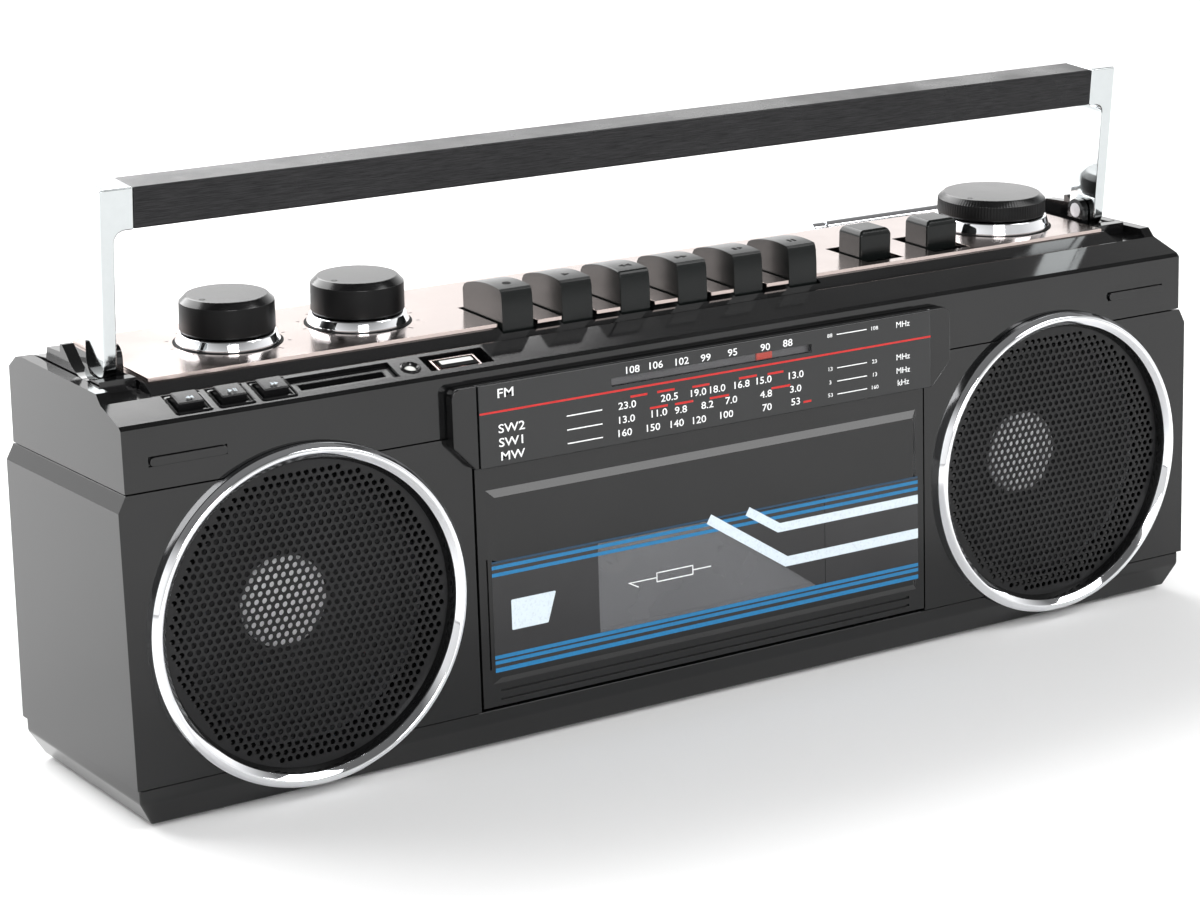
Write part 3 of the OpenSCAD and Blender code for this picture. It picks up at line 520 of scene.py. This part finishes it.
def perforated_sheet(name, cx, body):
    """A disc with hexagonally packed round holes and a plain rim."""
    pitch, hole_r, plain = 2.27, 0.78, 1.3
    row = pitch * math.sqrt(3) / 2
    reach = MOUTH_R - plain - pitch / 2
    corner_r = pitch / math.sqrt(3)
    bm = bmesh.new()
    cache = {}
    depth = 1.0

    def vert(x, z):
        inward = min(1, (MOUTH_R - 0.02) / max(0.01, math.hypot(x, z)))
        x, z = x * inward, z * inward
        key = (round(x * 200), round(z * 200))
        if key not in cache:
            cache[key] = bm.verts.new(at(cx + x, depth, SPEAKER_Z + z))
        return cache[key]

    rows = int(MOUTH_R / row) + 2
    for j in range(-rows, rows + 1):
        for i in range(-rows, rows + 1):
            x, z = (i + (j % 2) * 0.5) * pitch, j * row
            away = math.hypot(x, z)
            if away > MOUTH_R + corner_r:
                continue
            inner, outer = [], []
            for k in range(12):
                a = math.radians(30 * k + 30)
                far = corner_r if k % 2 == 0 else pitch / 2
                if away <= reach:
                    inner.append(vert(x + hole_r * math.cos(a), z + hole_r * math.sin(a)))
                outer.append(vert(x + far * math.cos(a), z + far * math.sin(a)))
            if away <= reach:
                for k in range(12):
                    n = (k + 1) % 12
                    bm.faces.new((inner[k], inner[n], outer[n], outer[k]))
                continue
            # A plain cell, cut off at the rim.
            kept = [v for k, v in enumerate(outer) if v is not outer[k - 1]]
            if len(set(kept)) == len(kept) > 2:
                bm.faces.new(kept)
    bmesh.ops.dissolve_degenerate(bm, dist=1e-6, edges=bm.edges)
    bmesh.ops.recalc_face_normals(bm, faces=bm.faces)
    mesh = bpy.data.meshes.new(name)
    bm.to_mesh(mesh)
    bm.free()
    ob = piece(name, mesh, body, MESH)
    ob.data.validate()
    thick = ob.modifiers.new("sheet", "SOLIDIFY")
    thick.thickness = 0.5 * MM
    thick.offset = 0
    return ob


def build_speakers():
    outward = Vector((0, -1, 0))
    mouth = MOUTH_R + 0.25
    bevel = [(mouth, 2.1), (MOUTH_R - 1.0, -0.5), (MOUTH_R - 1.0, -0.9), (mouth, -0.9)]
    for side, name in ((-1, "left"), (1, "right")):
        cx = side * SPEAKER_X
        middle = at(cx, 0, SPEAKER_Z)
        ring = lathe("speaker_ring_" + name, ring_outline(), middle, outward, 192, "case", CHROME)
        sheet = perforated_sheet("grille_" + name, cx, "case")
        lathe("grille_bevel_" + name, bevel, middle, outward, 160, "case", GLOSS)
        cone = lathe("speaker_cone_" + name, cone_outline(), middle, -outward, 128, "case", PAPER,
                     False)
        cap = lathe("dust_cap_" + name, cap_outline(), middle, -outward, 96, "case", FOIL,
                    False)
        if side == 1:
            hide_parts("speaker_rings")
            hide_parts("grilles")
            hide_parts("speaker_cones")
            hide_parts("dust_caps")


def cone_outline():
    """Paper cone with a rolled surround, open at the cap."""
    slope = [(12.45, 16.0), (14, 15.0), (20, 11.4), (26, 8.3), (29.6, 6.6)]
    turns = [math.radians(a) for a in range(0, 181, 20)]
    roll = [(31.9 - 2.0 * math.cos(a), 6.7 - 2.1 * math.sin(a)) for a in turns]
    back = [(34.2, 6.9), (33.8, 7.0), (30.2, 7.4), (26, 9.2), (20, 12.4), (14, 16.0), (12.45, 16.9)]
    return slope + roll + back + [slope[0]]


def cap_outline():
    """Shallow dome over the cone's opening."""
    turns = [math.radians(a) for a in range(0, 91, 6)]
    dome = [(12.4 * math.sin(a), 16 - 4.4 * math.cos(a)) for a in turns]
    return dome + [(11.6, 16.0), (0, 12.4)]


# ---------- Knobs ----------


def knob_outline(r, low, high):
    points = [(0, low + 0.3), (r - 0.3, low + 0.3), (r, low + 0.8), (r - 0.1, high - 1.7),
              (r - 1.7, high - 0.1), (r - 2.0, high), (0, high - 0.15)]
    return fillet(points, [0, 0.15, 0.2, 0.25, 0.2, 0.15, 0], 3)


def build_knob(name, body, x, r, low, high, ribs):
    """A knob cap between two heights over the deck, its shaft and its pointer mark."""
    base = deck_point(x, KNOB_D)
    segments = ribs * 4 if ribs else 128
    ob = lathe(name + "_cap", knob_outline(r, low, high), base, DECK_UP, segments, body, KNOB,
               False)
    ob.data.materials.append(SATIN)
    for face in ob.data.polygons:
        face.material_index = int(face.normal.dot(DECK_UP) > 0.35)
    if ribs:
        cut_ribs(ob, base, r, low, high, ribs)
    lathe(name + "_shaft", [(0, -9), (3, -9), (3, low + 1), (0, low + 1)], base, DECK_UP, 40, body,
          STEEL, False)
    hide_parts(name)
    # Moulded pointer mark near the rim.
    turn, mark_r = math.radians(200), r - 3.6
    mark = fillet([(0, -0.02), (0.75, -0.02), (0.75, 0.08), (0.45, 0.02), (0, 0.0)], 0.03, 2)
    place = deck_point(x + mark_r * math.cos(turn), KNOB_D + mark_r * math.sin(turn), high - 0.05)
    lathe(name + "_mark", mark, place, DECK_UP, 24, body, DARK, False)


def cut_ribs(ob, base, r, low, high, ribs):
    """Draws the side wall inwards between evenly spaced ribs, as a fine knurl."""
    depth = 0.16
    for v in ob.data.vertices:
        away = v.co - base
        height = away.dot(DECK_UP) / MM
        flat = away - DECK_UP * away.dot(DECK_UP)
        if low + 1 < height < high - 1 and flat.length > (r - 0.5) * MM:
            angle = math.atan2(flat.dot(DECK_BACK), flat.x)
            v.co -= flat.normalized() * depth * MM * (0.5 + 0.5 * math.cos(angle * ribs))


def build_knobs():
    build_knob("volume_knob", "volume", VOLUME_X, SMALL_R, SMALL_RING_H, SMALL_H, 0)
    build_knob("tone_knob", "tone", TONE_X, SMALL_R, SMALL_RING_H, SMALL_H, 0)
    build_knob("tuning_knob", "tuning", TUNING_X, TUNING_R, TUNING_RING_H, TUNING_H, TUNING_RIBS)


def build_knob_rings():
    rings = (("volume_ring", VOLUME_X, SMALL_R, SMALL_RING_H), ("tone_ring", TONE_X, SMALL_R, SMALL_RING_H),
             ("tuning_ring", TUNING_X, TUNING_R, TUNING_RING_H))
    bore = 4.6
    for name, x, r, h in rings:
        base = deck_point(x, KNOB_D)
        outline = fillet([(bore, 0.02), (r + 1.2, 0.02), (r + 1.2, 0.7), (r + 0.35, h - 0.3),
                          (r - 0.3, h - 0.05), (bore, h - 0.1)], [0, 0.1, 0.4, 0.5, 0.2, 0], 5)
        ob = lathe(name, outline, base, DECK_UP, 144, "case", CHROME)
        if name == "tuning_ring":
            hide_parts("knob_rings")
        seat = [(r + 1.9, 0.0), (r + 1.9, 0.12), (r + 1.0, 0.16), (r + 1.0, 0.0)]
        lathe(name + "_seat", seat, base, DECK_UP, 96, "case", DARK)


def build_knob_ticks():
    """Printed scale marks round the volume and tone knobs, longer at the ends and the middle."""
    first, last, count = -60, 240, 11
    r = SMALL_R + 3
    marks = []
    for x in (VOLUME_X, TONE_X):
        for k in range(count):
            a = math.radians(first + (last - first) * k / (count - 1))
            length = 1.6 if k in (0, count // 2, count - 1) else 0.9
            p = Vector((math.cos(a), math.sin(a)))
            c = Vector((x, KNOB_D - DECK_FRONT))
            marks.append(stroke([tuple(c + p * r), tuple(c + p * (r + length))], 0.28))
    slabs("deck_marks", marks, at(0, DECK_FRONT, DECK_H), ACROSS, DECK_BACK, 0.03, "case", DARK)


# ---------- Keys, switches, buttons ----------


def build_keys():
    for name in KEYS:
        rounded_node("key_" + name, 0.55, 4)
    rounded_node("function_slider", 0.9, 4)
    rounded_node("band_slider", 0.9, 4)
    for name in ("back", "play", "next"):
        rounded_node("button_" + name, 0.35, 3)


def build_shelf_details():
    """LED centre, button symbols and the frames round the buttons."""
    lamp = shelf_point(LAMP_X, SHELF_MIDDLE, LAMP_LIFT)
    centre = fillet([(0, -0.3), (1.5, -0.3), (1.5, 0.1), (1.0, 0.35), (0, 0.4)], 0.1, 3)
    lathe("led_centre", centre, lamp, SHELF_UP, 32, "case", ACETAL, False)
    collar = fillet([(1.7, -0.3), (2.8, -0.3), (2.8, 0.75), (2.3, 0.95), (1.7, 0.2)], 0.15, 3)
    lathe("led_collar", collar, lamp, SHELF_UP, 40, "case", GLOSS)
    # A dark sheet in the socket's opening is painted shade, standing in for the shadowed inside of the
    # socket.
    slabs("socket_mouth_painted_shade", [rect(-79.9, -68.9, 3.35, 7.25)], shelf_point(0, 0, -0.72), ACROSS, SHELF_BACK,
          0.3, "case", DARK)
    tongue = fillet(rect(-79.2, -69.6, 4.9, 6.7), 0.2, 2)
    slabs("socket_tongue", [tongue], shelf_point(0, 0, -0.5), ACROSS, SHELF_BACK, 0.15, "case", ACETAL)
    marks = {
        "button_back": [triangle(-0.5, 0, 1.0, 1.3, -1), triangle(0.5, 0, 1.0, 1.3, -1)],
        "button_play": [triangle(-0.5, 0, 1.1, 1.3)]
        + [rect(x, x + 0.25, -0.65, 0.65) for x in (0.4, 0.9)],
        "button_next": [triangle(-0.5, 0, 1.0, 1.3), triangle(0.5, 0, 1.0, 1.3)],
    }
    for (name, outlines), x in zip(marks.items(), BUTTON_XS):
        slabs(name + "_symbol", outlines, shelf_point(x, SHELF_MIDDLE, BUTTON_LIFT), ACROSS, SHELF_BACK,
              0.03, name, PALE)
        inner = fillet(rect(x - 4.6, x + 4.6, SHELF_MIDDLE - 3.8, SHELF_MIDDLE + 3.8), 0.6, 3)
        outer = fillet(rect(x - 5.1, x + 5.1, SHELF_MIDDLE - 4.3, SHELF_MIDDLE + 4.3), 0.9, 3)
        frame_ring(name + "_frame", inner, outer)


def frame_ring(name, inner, outer):
    """A thin raised lip on the shelf between two outlines with the same number of points."""
    verts, faces, count = [], [], len(inner)
    for outline, lift in ((outer, 0.0), (outer, 0.22), (inner, 0.28), (inner, -0.3)):
        verts += [shelf_point(a, b, lift) for a, b in outline]
    for i in range(3):
        for k in range(count):
            n = (k + 1) % count
            faces.append((i * count + k, i * count + n, (i + 1) * count + n, (i + 1) * count + k))
    mesh = bpy.data.meshes.new(name)
    mesh.from_pydata(verts, [], faces)
    mesh.update()
    return piece(name, mesh, "case", GLOSS)


def build_key_symbols():
    tilt = math.asin(SYMBOL_FORWARD / KEY_ARC_R)
    back = Vector((0, math.cos(tilt), math.sin(tilt)))
    top = KEY_ARC_Z + KEY_ARC_R * math.cos(tilt) + 0.03
    for i, name in enumerate(KEYS):
        middle = at(KEY_FIRST + KEY_PITCH * i, KEY_ARC_D - SYMBOL_FORWARD, top)
        slabs("symbol_" + name, key_symbols(name), middle, ACROSS, back, 0.03, "key_" + name, DARK)


def triangle(cx, cy, w, h, flip=1):
    return [(cx - flip * w / 2, cy - h / 2), (cx + flip * w / 2, cy), (cx - flip * w / 2, cy + h / 2)]


def key_symbols(kind):
    """Outlines of one key's symbol, about 4 mm wide, in the key's own plane."""
    if kind == "record":
        return [ellipse(0, 0, 1.2, 1.2)]
    if kind == "play":
        return [triangle(0, 0, 2.0, 2.0)]
    if kind == "rewind":
        return [triangle(-1.0, 0, 1.8, 2.0, -1), triangle(1.0, 0, 1.8, 2.0, -1)]
    if kind == "forward":
        return [triangle(-1.0, 0, 1.8, 2.0), triangle(1.0, 0, 1.8, 2.0)]
    if kind == "stop":
        return [rect(-1.3, -0.3, -0.9, 0.9), triangle(1.2, 0, 1.4, 1.8)]
    return [rect(-1.1, -0.4, -1, 1), rect(0.4, 1.1, -1, 1)]


# ---------- Dial ----------


def build_dial():
    low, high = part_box("dial_lens")
    x0, x1, z0, z1 = low.x / MM, high.x / MM, low.z / MM, high.z / MM
    front, back = (low.y - FRONT) / MM + 0.04, (high.y - FRONT) / MM
    view_x0, view_x1, view_z0, view_z1 = -33.5, 32.5, 95.5, 97.8
    xs, zs = [x0, view_x0, view_x1, x1], [z0, view_z0, view_z1, z1]
    bm = bmesh.new()
    made = {}

    def vert(x, d, z):
        if (x, d, z) not in made:
            made[(x, d, z)] = bm.verts.new(at(x, d, z))
        return made[(x, d, z)]

    for i in range(3):
        for j in range(3):
            see = i == 1 and j == 1
            for d in (front, back):
                corners = ((i, j), (i + 1, j), (i + 1, j + 1), (i, j + 1))
                quad = [vert(xs[a], d, zs[b]) for a, b in corners]
                bm.faces.new(quad).material_index = int(see)
    for i in range(3):
        for z in (z0, z1):
            bm.faces.new((vert(xs[i], front, z), vert(xs[i + 1], front, z),
                          vert(xs[i + 1], back, z), vert(xs[i], back, z)))
    for j in range(3):
        for x in (x0, x1):
            bm.faces.new((vert(x, front, zs[j]), vert(x, front, zs[j + 1]),
                          vert(x, back, zs[j + 1]), vert(x, back, zs[j])))
    bmesh.ops.recalc_face_normals(bm, faces=bm.faces)
    mesh = bpy.data.meshes.new("dial_window")
    bm.to_mesh(mesh)
    bm.free()
    lens = piece("dial_window", mesh, "case", LENS)
    mesh.materials.append(LENS_CLEAR)
    soften(lens, 0.35, 3)
    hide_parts("dial_lens")
    rounded_node("dial_frame", 0.6)
    rounded_node("dial_pointer", 0.12, 2)
    build_dial_print(at(0, front, 0))


def build_dial_print(origin):
    small, wide = 2.0, 1.22
    rows = (
        (99.3, {"108": -26.9, "106": -19.4, "102": -11.0, "99": -3.0, "95": 5.9, "90": 16.8, "88": 24.4}),
        (89.8, {"23.0": -28.7, "20.5": -15.1, "19.0": -5.9, "18.0": 0.4, "16.8": 8.5, "15.0": 15.9,
                "13.0": 26.8}),
        (85.9, {"13.0": -29.2, "11.0": -18.8, "9.8": -11.5, "8.2": -2.8, "7.0": 5.1, "4.8": 16.8,
                "3.0": 26.8}),
        (82.3, {"160": -29.9, "150": -20.8, "140": -13.1, "120": -5.8, "100": 3.2, "70": 17.0,
                "53": 26.8}),
    )
    words = [(text, x, z, small, wide) for z, row in rows for text, x in row.items()]
    words += [("FM", -66.3, 99.1, 2.5, 1.25)]
    words += [(text, -64.8, z, 2.4, 1.25) for text, z in (("SW2", 89.6), ("SW1", 85.8), ("MW", 82.2))]
    units = (("MHz", 99.1), ("MHz", 89.7), ("MHz", 85.8), ("kHz", 82.2))
    words += [(text, 64.4, z, 1.7, 1.1) for text, z in units]
    limits = ((99.3, "88", "108"), (89.8, "13", "23"), (86.0, "3", "13"), (82.3, "53", "160"))
    words += [(text, x, z, 1.1, 1.2) for z, a, b in limits for text, x in ((a, 38.8), (b, 54.3))]
    lettering("dial_numbers", words, origin, ACROSS, UP, INK, "case", WHITE)
    lines = [rect(-47.8, -36.7, z - 0.16, z + 0.16) for z in (89.7, 85.9, 82.2)]
    lines += [rect(41.2, 51.6, z - 0.14, z + 0.14) for z in (99.3, 89.8, 86.0, 82.3)]
    slabs("dial_lines", lines, origin, ACROSS, UP, INK, "case", WHITE)
    # One red line across the dial, and short dashes over the short-wave bands: middle, height, length.
    reds = [rect(-74.3, 74.3, 93.85, 94.4)]
    dashes = ((-24.9, 91.9, 5.4), (-16.2, 91.9, 5.6), (-4.8, 91.6, 5.6), (10.8, 91.7, 6), (20.1, 91.5, 5.4),
              (-18.6, 87.8, 5.8), (-10.4, 87.7, 6), (1.2, 87.6, 6.4), (21.8, 87.3, 6.4), (30.8, 81.8, 2.7))
    for x, z, length in dashes:
        reds.append(rect(x - length / 2, x + length / 2, z - 0.3, z + 0.3))
    slabs("dial_red_lines", reds, origin, ACROSS, UP, INK, "case", RED)


# ---------- Door ----------


def build_door():
    rounded_node("cassette_door", 0.5, 3)
    low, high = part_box("door_window")
    x0, x1, z0, z1 = low.x / MM, high.x / MM, low.z / MM, high.z / MM
    front, back = (low.y - FRONT) / MM, (high.y - FRONT) / MM
    # The window is clear up to a slanting edge and black beyond it.
    cut_top, cut_low = -2.0, 35.0
    bm = bmesh.new()
    rows = {}
    for d in (front, back):
        rows[d] = [bm.verts.new(at(x, d, z)) for x, z in
                   ((x0, z0), (cut_low, z0), (x1, z0), (x1, z1), (cut_top, z1), (x0, z1))]
        a, b, c, e, f, g = rows[d]
        bm.faces.new((a, b, f, g)).material_index = 0
        bm.faces.new((b, c, e, f)).material_index = 1
    for k in range(6):
        n = (k + 1) % 6
        bm.faces.new((rows[front][k], rows[front][n], rows[back][n], rows[back][k])).material_index = 0
    bmesh.ops.recalc_face_normals(bm, faces=bm.faces)
    mesh = bpy.data.meshes.new("door_window_pane")
    bm.to_mesh(mesh)
    bm.free()
    pane = piece("door_window_pane", mesh, "door", WINDOW)
    mesh.materials.append(BAND)
    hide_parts("door_window")
    build_door_print()


def build_door_print():
    left, right, window = -DOOR_PRINT_X, DOOR_PRINT_X, 38
    low, high = 23, 52.9
    # A slightly paler printed band, left open at the window, carries the stripes.
    band = [rect(left, -window, low, high), rect(window, right, low, high),
            rect(-window, window, low, 27.05)]
    slabs("door_band", band, at(0, DOOR_FACE, 0), ACROSS, UP, 0.012, "door", BAND)
    front = at(0, DOOR_FACE - 0.018, 0)
    heights = ((51.0, 52.0), (49.0, 50.0), (26.3, 27.3), (24.8, 25.8), (22.6, 23.8))
    stripes = [rect(left, right, a, b) for a, b in heights]
    slabs("door_stripes", stripes, front, ACROSS, UP, INK, "door", BLUE)
    slabs("door_stripe_dark", [rect(left, right, 52.6, 53.2)], front, ACROSS, UP, INK, "door", DEEP_BLUE)
    # Two plain bent lines.
    bends = [stroke([(-1.6, 53), (24.4, 36.2), (right, 36.2)], 2.9),
             stroke([(11.4, 53), (22, 46.4), (right, 46.4)], 2.6)]
    slabs("door_bent_lines", bends, at(0, DOOR_FACE - 0.041, 0), ACROSS, UP, INK, "door", PALE)
    badge = fillet([(-65.6, 33.5), (-54.3, 33.5), (-51.6, 41.9), (-65.6, 41.9)], 0.4)
    slabs("door_badge", [badge], front, ACROSS, UP, INK, "door", PALE)
    arrow = [stroke([(-25.2, 37.9), (-28.2, 39.5), (-19.2, 39.5)], 0.32), rect(-7.2, -1.2, 39.34, 39.66)]
    arrow += [rect(-19.3, -7.2, z - 0.16, z + 0.16) for z in (38.3, 40.8)]
    arrow += [rect(x - 0.16, x + 0.16, 38.3, 40.8) for x in (-19.2, -7.3)]
    slabs("door_arrow", arrow, front, ACROSS, UP, INK, "door", WHITE)


# ---------- Rest of the set ----------


def build_small_parts():
    rounded_node("usb_socket", 0.15, 2, CONTACT)
    rounded_node("status_led", 0.15, 2, SATIN)
    for name in ("card_slot", "cassette_carrier", "deck_chassis", "head_plate"):
        rounded_node(name, 0.15, 2)
    for name in ("antenna_base", "antenna_tubes", "antenna_tip"):
        rounded_node(name, 0.25, 2)


# ---------- Stage ----------


def build_floor():
    mesh = bpy.data.meshes.new("floor")
    size = 9
    corners = [(-size, -size, 0), (size, -size, 0), (size, size, 0), (-size, size, 0)]
    mesh.from_pydata(corners, [], [(0, 1, 2, 3)])
    floor = bpy.data.objects.new("floor", mesh)
    bpy.context.scene.collection.objects.link(floor)
    mat, tree, shader = shader_tree("floor_white")
    cloud = grain(tree, 1.5, 2)
    white = shade(tree, cloud, (0.925, 0.925, 0.925), (0.935, 0.935, 0.935))
    tree.links.new(white, shader.inputs["Base Color"])
    shader.inputs["Roughness"].default_value = 0.9
    shader.inputs["Specular IOR Level"].default_value = 0.1
    mesh.materials.append(mat)


def build_world():
    """A room of light: pale walls, a brighter one behind the set, and a dark ceiling."""
    world = bpy.data.worlds.new("studio")
    bpy.context.scene.world = world
    world.use_nodes = True
    tree = world.node_tree
    back = tree.nodes["Background"]
    coords = node(tree, "ShaderNodeTexCoord")
    split = node(tree, "ShaderNodeSeparateXYZ")
    ramp = node(tree, "ShaderNodeValToRGB")
    ramp.color_ramp.elements[0].position = 0.34
    ramp.color_ramp.elements[0].color = (1, 1, 1, 1)
    ramp.color_ramp.elements[1].position = 0.62
    ramp.color_ramp.elements[1].color = (0.16, 0.16, 0.16, 1)
    sides = node(tree, "ShaderNodeMapRange")
    for socket, value in (("From Min", -0.9), ("From Max", 0.5), ("To Min", 0.7), ("To Max", 1.6)):
        sides.inputs[socket].default_value = value
    tree.links.new(coords.outputs["Generated"], split.inputs["Vector"])
    tree.links.new(split.outputs["Z"], ramp.inputs["Fac"])
    tree.links.new(split.outputs["Y"], sides.inputs["Value"])
    tree.links.new(ramp.outputs["Color"], back.inputs["Color"])
    tree.links.new(sides.outputs["Result"], back.inputs["Strength"])


def build_lights():
    """Each light: where it hangs, what it faces, its side length and its power."""
    soft_light("overhead_box", (0.83, -0.86, 1.15), (0, 0, 0.06), 0.75, 9.5)
    soft_light("front_box", (-0.55, -1.75, 0.8), (0, 0, 0.06), 0.7, 22)
    soft_light("table_light", (-0.75, 1.25, 1.05), (-0.45, 0.45, 0), 1.4, 36)
    soft_light("far_light", (1.2, 4.2, 3.4), (1.4, 3.0, 0), 3.2, 190)


def build_camera():
    camera = bpy.data.cameras.new("camera")
    camera.sensor_width = 36
    camera.lens = 94.03
    camera.clip_start, camera.clip_end = 0.05, 40
    ob = bpy.data.objects.new("camera", camera)
    bpy.context.scene.collection.objects.link(ob)
    ob.location = (-0.4702, -0.7243, 0.2814)
    azimuth, elevation, roll = -0.5629, 0.2449, -0.0314
    level = math.cos(elevation)
    out = Vector((math.sin(azimuth) * level, -math.cos(azimuth) * level, math.sin(elevation)))
    right = (-out).cross(UP).normalized()
    above = right.cross(-out)
    tilt_right = right * math.cos(roll) + above * math.sin(roll)
    tilt_above = above * math.cos(roll) - right * math.sin(roll)
    ob.rotation_euler = Matrix((tilt_right, tilt_above, out)).transposed().to_euler()
    bpy.context.scene.camera = ob


def soft_light(name, place, target, size, power):
    light = bpy.data.lights.new(name, "AREA")
    light.shape = "SQUARE"
    light.size = size
    light.energy = power
    ob = bpy.data.objects.new(name, light)
    bpy.context.scene.collection.objects.link(ob)
    ob.location = place
    ob.rotation_euler = (Vector(place) - Vector(target)).to_track_quat("Z", "Y").to_euler()


bpy.context.scene.view_settings.view_transform = "Standard"
build_case()
build_trim_bars()
build_screws()
build_speakers()
build_knobs()
build_knob_rings()
build_knob_ticks()
build_keys()
build_key_symbols()
build_shelf_details()
build_dial()
build_door()
build_small_parts()
build_floor()
build_world()
build_lights()
build_camera()
